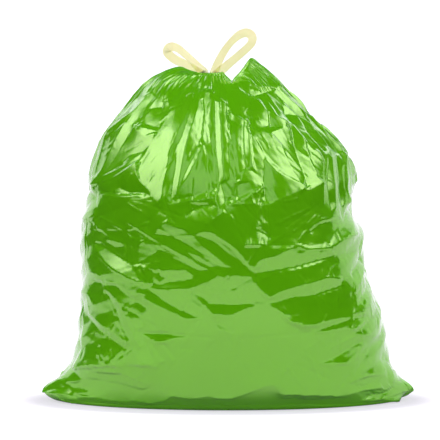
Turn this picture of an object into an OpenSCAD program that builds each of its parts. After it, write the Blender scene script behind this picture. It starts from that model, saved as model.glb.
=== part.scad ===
// A filled drawstring bin bag that stands on the floor with its mouth drawn shut.
// Frame: +Z up, -Y is the front, origin under the middle of the bag's box on the floor.

/* [Bag] */
// Distance between the two bottom corners, along the bottom seam
corner_width = 583; // [500:1:660]
// Depth of the filled body, front to back
body_depth = 302; // [250:1:360]
// Height of the drawn rim above the floor
neck_height = 500; // [430:1:580]
// How far the drawn mouth sits to the side of the bottom seam's middle
neck_offset = -28; // [-45:1:0]

/* [Mouth] */
// Rise of the gathered left shoulder above the rim
shoulder_rise = 11; // [6:0.5:16]
// Rise of the upright mouth corner on the right above the rim
fin_rise = 24; // [14:0.5:32]
// Width of the throat that the tapes come out of
throat_width = 40; // [34:0.5:48]
// Depth of the throat below the rim
throat_depth = 26; // [20:0.5:32]
// Depth of the nick between the gathers and the upright mouth corner
nick_depth = 20; // [12:0.5:24]
// Free space between a tape's edge and the throat's wall
throat_clearance = 4; // [3:0.25:5]

/* [Folds] */
// Number of pleats that run into the mouth
pleat_count = 26; // [20:1:32]
// Depth of a full pleat between two ridges
pleat_depth = 8; // [5:0.5:12]
// Height of a full crease on the front and back
crease_depth = 8; // [5:0.5:12]
// Depth of the slack wrinkles on the two flanks
flank_depth = 3; // [1.5:0.5:5]

/* [Drawtape] */
// Width of the flat tape
tape_width = 14; // [10:0.5:16]
// Thickness of the tape
tape_thickness = 0.8; // [0.6:0.1:1.2]
// Reach of the left loop above the rim, along the loop
left_reach = 64; // [50:1:80]
// Reach of the right loop above the rim, along the loop
right_reach = 79; // [60:1:95]

// Distance between the two strands of a tape in the throat
strand_gap = 4; // [3:0.25:5]

/* [Mesh] */
// Columns of film facets around the bag
columns = 104; // [72:8:120]
// Rings of film facets between two stations
rings_per_station = 2; // [1:1:2]

/* [Hidden] */

film_green = [0.35, 0.68, 0.08];
tape_yellow = [0.93, 0.88, 0.45];

half_width = corner_width / 2;
half_depth = body_depth / 2;
rim = neck_height;
// The film's small forms grow with the bag's height.
grain = rim / 500;
throat_half_w = throat_width / 2;
throat_half_d = tape_width / 2 + throat_clearance;

// Sections of the filled body from the floor up, as shares of the driving sizes:
// [side height, front height, left reach, right reach, depth, centre, corner roundness].
BODY = [
  [0.000, 0.000, -0.790, 0.790, 0.520, 0.00, 0.86],
  [0.004, 0.004, -0.920, 0.920, 0.700, 0.00, 1.20],
  [0.030, 0.028, -1.000, 1.000, 0.780, 0.00, 1.65],
  [0.076, 0.080, -0.878, 0.899, 0.845, 0.00, 1.28],
  [0.124, 0.130, -0.823, 0.858, 0.885, 0.00, 1.02],
  [0.186, 0.190, -0.796, 0.842, 0.926, 0.00, 0.90],
  [0.244, 0.246, -0.786, 0.823, 0.957, 0.00, 0.86],
  [0.300, 0.300, -0.777, 0.796, 0.981, 0.00, 0.86],
  [0.356, 0.356, -0.768, 0.751, 1.000, 0.00, 0.86],
  [0.412, 0.412, -0.768, 0.722, 0.998, 0.00, 0.86],
  [0.468, 0.468, -0.774, 0.717, 0.990, 0.00, 0.86],
  [0.524, 0.524, -0.770, 0.710, 0.976, 0.01, 0.86],
  [0.570, 0.570, -0.753, 0.659, 0.960, 0.03, 0.86],
  [0.616, 0.616, -0.739, 0.648, 0.940, 0.06, 0.87],
  [0.666, 0.666, -0.732, 0.669, 0.908, 0.12, 0.88],
  [0.720, 0.718, -0.717, 0.655, 0.858, 0.22, 0.90],
  [0.770, 0.766, -0.688, 0.611, 0.790, 0.34, 0.92],
  [0.816, 0.810, -0.652, 0.542, 0.700, 0.48, 0.95],
  [0.860, 0.852, -0.595, 0.453, 0.592, 0.62, 0.97],
  [0.906, 0.896, -0.533, 0.389, 0.478, 0.76, 1.00],
  [0.948, 0.936, -0.475, 0.323, 0.362, 0.88, 1.00],
  [0.986, 0.968, -0.412, 0.261, 0.248, 0.96, 1.00]
];

// One section: [left height, right height, front height, left reach, right reach, depth, centre, roundness].
function body_section(row) = [
  row[0] * rim, row[0] * rim, row[1] * rim,
  row[2] * half_width, row[3] * half_width, row[4] * half_depth,
  row[5] * neck_offset, row[6]
];

// The drawn mouth, from the shoulders over the rim and down into the throat.
function mouth_sections() = [
  [rim + 0.5 * shoulder_rise, rim + 0.5 * fin_rise, rim - 0.25 * nick_depth,
    neck_offset - 3.4 * throat_half_w, neck_offset + 4.1 * throat_half_w, 1.9 * throat_half_d, neck_offset, 1],
  [rim + shoulder_rise, rim + fin_rise, rim,
    neck_offset - 2.2 * throat_half_w, neck_offset + 3.1 * throat_half_w, 1.45 * throat_half_d, neck_offset, 1],
  [rim + 0.4 * shoulder_rise, rim + 0.1 * fin_rise, rim + 0.05 * nick_depth,
    neck_offset - 1.5 * throat_half_w, neck_offset + 1.85 * throat_half_w, 1.25 * throat_half_d, neck_offset, 1],
  [rim, rim - 0.1 * nick_depth, rim,
    neck_offset - 1.15 * throat_half_w, neck_offset + 1.25 * throat_half_w, 1.12 * throat_half_d, neck_offset, 1],
  [rim - 0.4 * throat_depth, rim - 0.4 * throat_depth, rim - 0.4 * throat_depth,
    neck_offset - throat_half_w, neck_offset + throat_half_w, throat_half_d, neck_offset, 0.9],
  [rim - throat_depth, rim - throat_depth, rim - throat_depth,
    neck_offset - throat_half_w, neck_offset + throat_half_w, throat_half_d, neck_offset, 0.9]
];

STATIONS = concat([for (row = BODY) body_section(row)], mouth_sections());
ring_count = (len(STATIONS) - 1) * rings_per_station + 1;

// A smooth run through the stations, with t counted in stations.
function station(i) = STATIONS[max(0, min(len(STATIONS) - 1, i))];
function section(t) =
  let (i = floor(t), f = t - i, a = station(i - 1), b = station(i), c = station(i + 1), d = station(i + 2))
  0.5 * (2 * b + (c - a) * f + (2 * a - 5 * b + 4 * c - d) * f * f + (3 * b - a - 3 * c + d) * f * f * f);

function power(value, exponent) = sign(value) * pow(abs(value), exponent);
function fade(value, low, high) =
  let (f = max(0, min(1, (value - low) / (high - low)))) f * f * (3 - 2 * f);
// A folded wave: 0 on its ridges, 1 in its valleys.
function fold_wave(phase) = 1 - abs(2 * (phase - floor(phase)) - 1);

// The smooth film before folding, at station t and angle u, with u = 270 at the front.
LOBE = 2.2;
NICK_AT = neck_offset + 1.75 * throat_half_w;
NICK_LEFT = 0.7 * throat_half_w;
NICK_RIGHT = 1.35 * throat_half_w;
function smooth_point(t, u) =
  let (
    s = section(t),
    c = cos(u),
    side = pow(abs(c), LOBE),
    x = s[6] + (c < 0 ? s[6] - s[3] : s[4] - s[6]) * c,
    nick = nick_depth * max(0, 1 - abs(x - NICK_AT) / (x < NICK_AT ? NICK_LEFT : NICK_RIGHT))
      * fade(t, 21, 23) * (1 - fade(t, 24.5, 25.5))
  )
  [x, s[5] * power(sin(u), s[7]), s[2] + ((c < 0 ? s[0] : s[1]) - s[2]) * side - nick];

// Creases of the front panel as shares: [x1, z1, x2, z2, width above, width below, height].
// A crease with a positive height is a ridge and one with a negative height is a valley.
CREASES = [
  [-0.60, 0.825, -0.36, 0.985, 12, 34, 0.40],
  [-0.175, 0.850, -0.155, 0.955, 18, 20, 0.65],
  [-0.02, 0.850, -0.09, 0.955, 16, 14, 0.65],
  [0.15, 0.920, 0.31, 0.850, 10, 14, 0.35],
  [-0.66, 0.765, 0.50, 0.760, 26, 44, -0.32],
  [-0.62, 0.705, -0.48, 0.790, 20, 20, -0.50],
  [-0.115, 0.830, -0.09, 0.710, 20, 18, -0.30],
  [0.17, 0.770, 0.21, 0.660, 16, 14, -0.35],
  [0.34, 0.810, 0.41, 0.700, 16, 18, -0.45],
  [0.43, 0.820, 0.57, 0.775, 10, 12, -0.35],
  [0.58, 0.770, 0.60, 0.640, 20, 18, -0.85],
  [-0.56, 0.655, -0.42, 0.670, 14, 14, -0.40],
  [-0.38, 0.630, -0.22, 0.690, 16, 20, 0.30],
  [-0.14, 0.565, -0.02, 0.630, 24, 26, 0.40],
  [-0.30, 0.575, 0.12, 0.490, 20, 22, 0.32],
  [0.34, 0.680, 0.54, 0.580, 30, 24, 0.36],
  [-0.70, 0.510, -0.42, 0.480, 40, 24, -0.38],
  [-0.70, 0.415, -0.36, 0.415, 14, 50, 0.34],
  [0.18, 0.420, 0.46, 0.460, 20, 24, -0.20],
  [0.55, 0.410, 0.73, 0.320, 16, 20, 0.34],
  [-0.14, 0.340, 0.12, 0.345, 16, 18, -0.25],
  [-0.68, 0.250, -0.54, 0.220, 18, 18, -0.42],
  [-0.76, 0.145, -0.54, 0.150, 22, 22, 0.38],
  [0.70, 0.180, 0.78, 0.180, 16, 14, -0.42],
  [0.62, 0.100, 0.84, 0.110, 14, 14, 0.25]
];

// Height of one crease at the point [x, z] of the front panel.
function crease_height(x, z, crease) =
  let (
    from = [crease[0] * half_width, crease[1] * rim],
    run = [crease[2] * half_width, crease[3] * rim] - from,
    length = norm(run),
    along = ([x, z] - from) * run / length,
    off = cross(run, [x, z] - from) / length * (run[0] < 0 ? -1 : 1),
    width = (off > 0 ? crease[4] : crease[5]) * grain,
    ends = fade(along, -0.15 * length, 0.2 * length) * fade(length - along, -0.15 * length, 0.2 * length)
  )
  crease[6] * max(0, 1 - abs(off) / width) * ends;

function crease_sum(x, z) =
  [for (crease = CREASES) crease_height(x, z, crease)] * [for (crease = CREASES) 1];

// How deep the pleats are at station t, as a share, and where their folds lie at angle u.
PLEATS_FROM = 12;
PLEATS_FULL = 16.5;
PLEATS_FADE = 20;
RIM_STATION = 24;
function pleat_share(t) =
  fade(t, PLEATS_FROM, PLEATS_FULL) * (1 - fade(t, PLEATS_FADE, RIM_STATION));
function pleat_phase(u) = pleat_count * u / 360 + 0.32 * sin(3 * u + 20) + 0.2 * sin(7 * u + 100);
function pleat_strength(u) = 0.74 + 0.26 * sin(5 * u + 30);

// Total movement of the film along its outward normal.
FLANK_PITCH = 38;
function fold_height(t, u, point) =
  let (
    front = sin(u) < 0,
    panel = pow(abs(sin(u)), 0.6) * (1 - fade(t, 20, 22)),
    x = front ? point[0] : -point[0],
    flank = pow(abs(cos(u)), 3) * fade(t, 3, 5) * (1 - fade(t, 13, 15)),
    slant = (point[2] + 0.55 * point[1] * (point[0] < 0 ? 1 : -1)) / (FLANK_PITCH * grain)
  )
  crease_depth * crease_sum(x, point[2]) * panel
  - pleat_depth * pleat_share(t) * pleat_strength(u) * fold_wave(pleat_phase(u))
    * (1 - 0.6 * fade(-sin(u), 0.05, 0.45))
  - flank_depth * flank * fold_wave(slant);

SMOOTH = [
  for (i = [0 : ring_count - 1])
    [for (j = [0 : columns - 1]) smooth_point(i / rings_per_station, 360 * j / columns)]
];

function smooth_normal(i, j) =
  let (
    across = SMOOTH[i][(j + 1) % columns] - SMOOTH[i][(j + columns - 1) % columns],
    up = SMOOTH[min(ring_count - 1, i + 1)][j] - SMOOTH[max(0, i - 1)][j],
    n = cross(across, up)
  )
  n / max(norm(n), 0.000001);

// The folded film, with the floor ring and the throat's last ring kept flat.
function film_point(i, j) =
  let (t = i / rings_per_station, p = SMOOTH[i][j])
  i == 0 || i == ring_count - 1
    ? p
    : let (q = p + smooth_normal(i, j) * fold_height(t, 360 * j / columns, p)) [q[0], q[1], max(0, q[2])];

FILM = [for (i = [0 : ring_count - 1]) for (j = [0 : columns - 1]) film_point(i, j)];

// The origin's place: the middle of the film's box.
BOX_X = [for (p = FILM) p[0]];
BOX_Y = [for (p = FILM) p[1]];
middle = [(min(BOX_X) + max(BOX_X)) / 2, (min(BOX_Y) + max(BOX_Y)) / 2, 0];

function at(i, j) = i * columns + j % columns;
FILM_FACES = concat(
  [for (i = [0 : ring_count - 2]) for (j = [0 : columns - 1]) [at(i, j), at(i + 1, j), at(i + 1, j + 1)]],
  [for (i = [0 : ring_count - 2]) for (j = [0 : columns - 1]) [at(i, j), at(i + 1, j + 1), at(i, j + 1)]],
  [[for (j = [0 : columns - 1]) at(0, j)]],
  [[for (j = [columns - 1 : -1 : 0]) at(ring_count - 1, j)]]
);

module bag() {
  color(film_green)
    translate(-middle)
      polyhedron(points = FILM, faces = FILM_FACES, convexity = 12);
}

// A tape's route in its own plane, as shares of its reach: [along the loop, across it, twist].
// The route starts and ends in the throat, and twist turns the tape's flat side to the front.
LEFT_LOOP = [
  [0.00, 0.05, 6], [0.16, 0.07, 24], [0.36, 0.11, 40], [0.60, 0.14, 40], [0.82, 0.15, 30],
  [0.96, 0.10, 14], [1.00, 0.00, 2], [0.94, -0.08, -5], [0.74, -0.10, -10], [0.48, -0.07, -12],
  [0.22, -0.05, -10], [0.00, -0.04, -4]
];
RIGHT_LOOP = [
  [0.00, 0.04, 24], [0.18, 0.10, 28], [0.40, 0.15, 34], [0.62, 0.17, 40], [0.82, 0.15, 28],
  [0.95, 0.09, 12], [1.00, 0.00, 0], [0.97, -0.09, -12], [0.86, -0.14, -28], [0.64, -0.12, -30],
  [0.38, -0.08, -24], [0.17, -0.05, -16], [0.00, -0.03, -10]
];
LEFT_LEAN = 55;
RIGHT_LEAN = -41;
route_steps = 4;

// A smooth run through a route's rows.
function row_at(rows, i) = rows[max(0, min(len(rows) - 1, i))];
function smooth_row(rows, t) =
  let (i = min(floor(t), len(rows) - 2), f = t - i, a = row_at(rows, i - 1), b = row_at(rows, i),
    c = row_at(rows, i + 1), d = row_at(rows, i + 2))
  0.5 * (2 * b + (c - a) * f + (2 * a - 5 * b + 4 * c - d) * f * f + (3 * b - a - 3 * c + d) * f * f * f);

// The route in the bag's frame: up from the throat's floor, round the loop, and back down beside itself.
function throat_row(row, foot, k) =
  [foot + sign(row[0] - foot) * strand_gap / 2, 0, rim - k / 3 * throat_depth, row[3] * (1 - min(k, 2) / 2)];
function route(loop, reach, lean, foot) =
  let (
    side = sign(lean),
    turned = [
      for (k = [0 : (len(loop) - 1) * route_steps])
        let (p = smooth_row(loop, k / route_steps)) [
          foot + reach * (-p[0] * sin(lean) + p[1] * cos(lean) * side),
          0,
          rim + reach * (p[0] * cos(lean) + p[1] * sin(lean) * side),
          p[2]
        ]
    ]
  )
  concat(
    [for (k = [3 : -1 : 1]) throat_row(turned[0], foot, k)],
    turned,
    [for (k = [1 : 3]) throat_row(turned[len(turned) - 1], foot, k)]
  );

// A flat tape swept along a route, as one closed solid.
module tape(rows) {
  count = len(rows);
  centres = [for (p = rows) [p[0], p[1], p[2]]];
  tangents = [for (k = [0 : count - 1])
    let (d = centres[min(count - 1, k + 1)] - centres[max(0, k - 1)]) d / norm(d)];
  corners = [for (k = [0 : count - 1])
    let (
      normal = cross(tangents[k], [0, 1, 0]),
      wide = (cos(rows[k][3]) * [0, 1, 0] + sin(rows[k][3]) * normal) * tape_width / 2,
      thick = (cos(rows[k][3]) * normal - sin(rows[k][3]) * [0, 1, 0]) * tape_thickness / 2
    )
    each [centres[k] + wide + thick, centres[k] - wide + thick, centres[k] - wide - thick, centres[k] + wide - thick]
  ];
  sides = [for (k = [0 : count - 2]) for (c = [0 : 3])
    each [
      [4 * k + c, 4 * k + 4 + c, 4 * k + (c + 1) % 4],
      [4 * k + (c + 1) % 4, 4 * k + 4 + c, 4 * k + 4 + (c + 1) % 4]
    ]
  ];
  last = 4 * (count - 1);
  polyhedron(points = corners, faces = concat([[0, 1, 2, 3]], sides, [[last + 3, last + 2, last + 1, last]]),
    convexity = 6);
}

module drawtape_left() {
  color(tape_yellow)
    translate(-middle)
      tape(route(LEFT_LOOP, left_reach, LEFT_LEAN, neck_offset - throat_half_w / 2));
}

module drawtape_right() {
  color(tape_yellow)
    translate(-middle)
      tape(route(RIGHT_LOOP, right_reach, RIGHT_LEAN, neck_offset + throat_half_w / 2));
}

bag();
drawtape_left();
drawtape_right();
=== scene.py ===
# %% [markdown]
# # A filled drawstring bin bag
# A bin bag is a tube of thin, stiff, shiny film. Filled and drawn shut, it has few soft curves: the film
# breaks into flat panels with sharp creases between them, and each panel mirrors one thing around it.
# A panel that leans back mirrors a lamp and is pale, one that leans forward mirrors the floor and is
# mid green, and an upright one mirrors the dark room. So this lesson shapes the film panel by panel.

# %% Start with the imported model
import math

import bpy
import numpy as np
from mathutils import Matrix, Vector


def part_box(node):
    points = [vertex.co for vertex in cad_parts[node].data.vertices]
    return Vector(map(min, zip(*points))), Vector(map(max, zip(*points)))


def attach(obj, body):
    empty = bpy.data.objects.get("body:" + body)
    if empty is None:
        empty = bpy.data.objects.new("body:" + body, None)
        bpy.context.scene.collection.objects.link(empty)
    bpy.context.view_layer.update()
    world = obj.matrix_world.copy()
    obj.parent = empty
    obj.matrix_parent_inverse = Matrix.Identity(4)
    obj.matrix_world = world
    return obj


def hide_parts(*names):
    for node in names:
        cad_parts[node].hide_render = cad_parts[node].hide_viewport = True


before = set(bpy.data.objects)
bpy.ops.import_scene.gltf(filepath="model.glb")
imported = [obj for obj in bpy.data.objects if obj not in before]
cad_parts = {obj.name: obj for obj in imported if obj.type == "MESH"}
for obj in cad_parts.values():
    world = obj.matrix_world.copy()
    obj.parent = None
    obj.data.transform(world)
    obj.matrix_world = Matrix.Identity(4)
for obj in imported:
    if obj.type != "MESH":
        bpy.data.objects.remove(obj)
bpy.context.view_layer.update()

MM = 0.001
tape_low, tape_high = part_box("drawtape_left")
mouth_y = (tape_low[1] + tape_high[1]) / 2 / MM
print("middle of the mouth, mm behind the origin:", round(mouth_y, 2))

# %% [markdown]
# ## The camera
# The photograph looks at the bag straight from the front, from a little above the floor, with a long
# lens. The camera comes first, because the panels below are placed as they are seen from it.

# %% Camera
CAMERA_RISE = math.radians(5)
CAMERA_REACH = 3.4
FRAME_WIDTH = 0.671
AIM = Vector((-0.0114, 0.0, 0.277))
camera_data = bpy.data.cameras.new("camera")
camera_data.sensor_width = 36
camera_data.lens = 36 * CAMERA_REACH / FRAME_WIDTH
camera = bpy.data.objects.new("camera", camera_data)
camera.location = AIM + CAMERA_REACH * Vector((0, -math.cos(CAMERA_RISE), math.sin(CAMERA_RISE)))
camera.rotation_euler = (math.pi / 2 - CAMERA_RISE, 0, 0)
bpy.context.scene.collection.objects.link(camera)
bpy.context.scene.camera = camera
print("lens, mm:", round(camera_data.lens, 1))

# %% [markdown]
# ## The filled body without its folds
# The waste pushes the tube out to an oval, the flat bottom seam keeps its two corners as pointed ears,
# and the drawn mouth pulls the top together above the left of the middle. A loft through oval sections
# says all of that with one row of numbers for each height, the same rows that the solid has.

# %% Sections from the floor to the throat
HALF_WIDTH, HALF_DEPTH, RIM = 291.5, 151.0, 500.0
NECK_X, THROAT_W, THROAT_D, THROAT_DROP = -28.0, 20.0, 11.0, 26.0
SHOULDER, FIN, NICK = 11.0, 24.0, 20.0
# Side height, front height, left reach, right reach, depth, centre shift, corner roundness.
BODY = np.array([
    [0.000, 0.000, -0.790, 0.790, 0.520, 0.00, 0.86], [0.004, 0.004, -0.920, 0.920, 0.700, 0.00, 1.20],
    [0.030, 0.028, -1.000, 1.000, 0.780, 0.00, 1.65], [0.076, 0.080, -0.878, 0.899, 0.845, 0.00, 1.28],
    [0.124, 0.130, -0.823, 0.858, 0.885, 0.00, 1.02], [0.186, 0.190, -0.796, 0.842, 0.926, 0.00, 0.90],
    [0.244, 0.246, -0.786, 0.823, 0.957, 0.00, 0.86], [0.300, 0.300, -0.777, 0.796, 0.981, 0.00, 0.86],
    [0.356, 0.356, -0.768, 0.751, 1.000, 0.00, 0.86], [0.412, 0.412, -0.768, 0.722, 0.998, 0.00, 0.86],
    [0.468, 0.468, -0.774, 0.717, 0.990, 0.00, 0.86], [0.524, 0.524, -0.770, 0.710, 0.976, 0.01, 0.86],
    [0.570, 0.570, -0.753, 0.659, 0.960, 0.03, 0.86], [0.616, 0.616, -0.739, 0.648, 0.940, 0.06, 0.87],
    [0.666, 0.666, -0.732, 0.669, 0.908, 0.12, 0.88], [0.720, 0.718, -0.717, 0.655, 0.858, 0.22, 0.90],
    [0.770, 0.766, -0.688, 0.611, 0.790, 0.34, 0.92], [0.816, 0.810, -0.652, 0.542, 0.700, 0.48, 0.95],
    [0.860, 0.852, -0.595, 0.453, 0.592, 0.62, 0.97], [0.906, 0.896, -0.533, 0.389, 0.478, 0.76, 1.00],
    [0.948, 0.936, -0.475, 0.323, 0.362, 0.88, 1.00], [0.986, 0.968, -0.412, 0.261, 0.248, 0.96, 1.00],
])
sections = [
    [side * RIM, side * RIM, front * RIM, left * HALF_WIDTH, right * HALF_WIDTH, depth * HALF_DEPTH,
     middle * NECK_X, roundness]
    for side, front, left, right, depth, middle, roundness in BODY
] + [
    [RIM + 0.5 * SHOULDER, RIM + 0.5 * FIN, RIM - 5, NECK_X - 3.4 * THROAT_W, NECK_X + 4.1 * THROAT_W,
     1.9 * THROAT_D, NECK_X, 1],
    [RIM + SHOULDER, RIM + FIN, RIM, NECK_X - 2.2 * THROAT_W, NECK_X + 3.1 * THROAT_W,
     1.45 * THROAT_D, NECK_X, 1],
    [RIM + 0.4 * SHOULDER, RIM + 0.1 * FIN, RIM + 1, NECK_X - 1.5 * THROAT_W, NECK_X + 1.85 * THROAT_W,
     1.25 * THROAT_D, NECK_X, 1],
    [RIM, RIM - 2, RIM, NECK_X - 1.15 * THROAT_W, NECK_X + 1.25 * THROAT_W, 1.12 * THROAT_D, NECK_X, 1],
    [RIM - 0.4 * THROAT_DROP] * 3 + [NECK_X - THROAT_W, NECK_X + THROAT_W, THROAT_D, NECK_X, 0.9],
    [RIM - THROAT_DROP] * 3 + [NECK_X - THROAT_W, NECK_X + THROAT_W, THROAT_D, NECK_X, 0.9],
]
STATIONS = np.array(sections)
print("stations:", len(STATIONS))


# %% A smooth film through the sections
# The nick between the gathers and the upright mouth corner: its middle and how far it reaches.
NICK_X, NICK_LEFT, NICK_RIGHT = NECK_X + 1.75 * THROAT_W, 0.7 * THROAT_W, 1.35 * THROAT_W
SIDE_RISE = 2.2


def fade(value, low, high):
    f = np.clip((value - low) / (high - low), 0, 1)
    return f * f * (3 - 2 * f)


def between_rows(rows, t):
    """Values at place t of a table, on a smooth curve through its rows."""
    i = np.floor(t).astype(int)
    f = (t - i)[..., None]
    a, b, c, d = (rows[np.clip(i + k, 0, len(rows) - 1)] for k in (-1, 0, 1, 2))
    return 0.5 * (2 * b + (c - a) * f + (2 * a - 5 * b + 4 * c - d) * f ** 2
                  + (3 * b - a - 3 * c + d) * f ** 3)


def smooth_film(t, u):
    """The film at station t and angle u, which goes from the right over the back and left to the front."""
    rows = np.moveaxis(between_rows(STATIONS, t), -1, 0)
    left_z, right_z, front_z, left, right, depth, middle, roundness = rows
    c, s = np.cos(u), np.sin(u)
    x = middle + np.where(c < 0, middle - left, right - middle) * c
    y = depth * np.sign(s) * np.abs(s) ** roundness
    off_nick = x - NICK_X
    nick = np.clip(1 - np.abs(off_nick) / np.where(off_nick < 0, NICK_LEFT, NICK_RIGHT), 0, 1)
    nick = NICK * nick * fade(t, 21, 23) * (1 - fade(t, 24.5, 25.5))
    z = front_z + (np.where(c < 0, left_z, right_z) - front_z) * np.abs(c) ** SIDE_RISE - nick
    return np.stack([x, y + mouth_y, z], -1)


# %% [markdown]
# The film is a grid of rings and columns. A crease can't be sharper than the grid, so the rings lie
# about 2 mm apart. The front, which is looked at most, has columns every millimetre, four times as
# many as the back.

# %% The grid
LEAST_STEP = 0.2
RINGS_IN_GAP = [6, 10, 14] + [12] * 11 + [17] * 8 + [13, 9, 7, 5, 4]
ring_t = np.concatenate(
    [gap + np.arange(count) / count for gap, count in enumerate(RINGS_IN_GAP)] + [[len(RINGS_IN_GAP)]]
)
BACK_COLUMNS, FRONT_COLUMNS = 120, 480
column_u = np.concatenate([
    np.arange(BACK_COLUMNS) / BACK_COLUMNS * math.pi,
    math.pi + np.arange(FRONT_COLUMNS) / FRONT_COLUMNS * math.pi,
])
T, U = np.meshgrid(ring_t, column_u, indexing="ij")
smooth = smooth_film(T, U)
RINGS, COLUMNS = T.shape
print("grid:", RINGS, "rings of", COLUMNS)


def around(field, step):
    return np.roll(field, -step, axis=1)


def unit(v):
    return v / np.maximum(np.linalg.norm(v, axis=-1, keepdims=True), 1e-9)


across = unit(around(smooth, 1) - around(smooth, -1))
upward = unit(np.gradient(smooth, axis=0))
normal = unit(np.cross(across, upward))
normal[0] = (0, 0, -1)
across_step = np.maximum(np.linalg.norm(around(smooth, 1) - smooth, axis=-1), LEAST_STEP)
up_step = np.maximum(np.linalg.norm(smooth[1:] - smooth[:-1], axis=-1), LEAST_STEP)
for way, spacing in (("across", across_step), ("up", up_step)):
    print("spacing", way, "in mm:", round(float(np.median(spacing)), 2))
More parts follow.
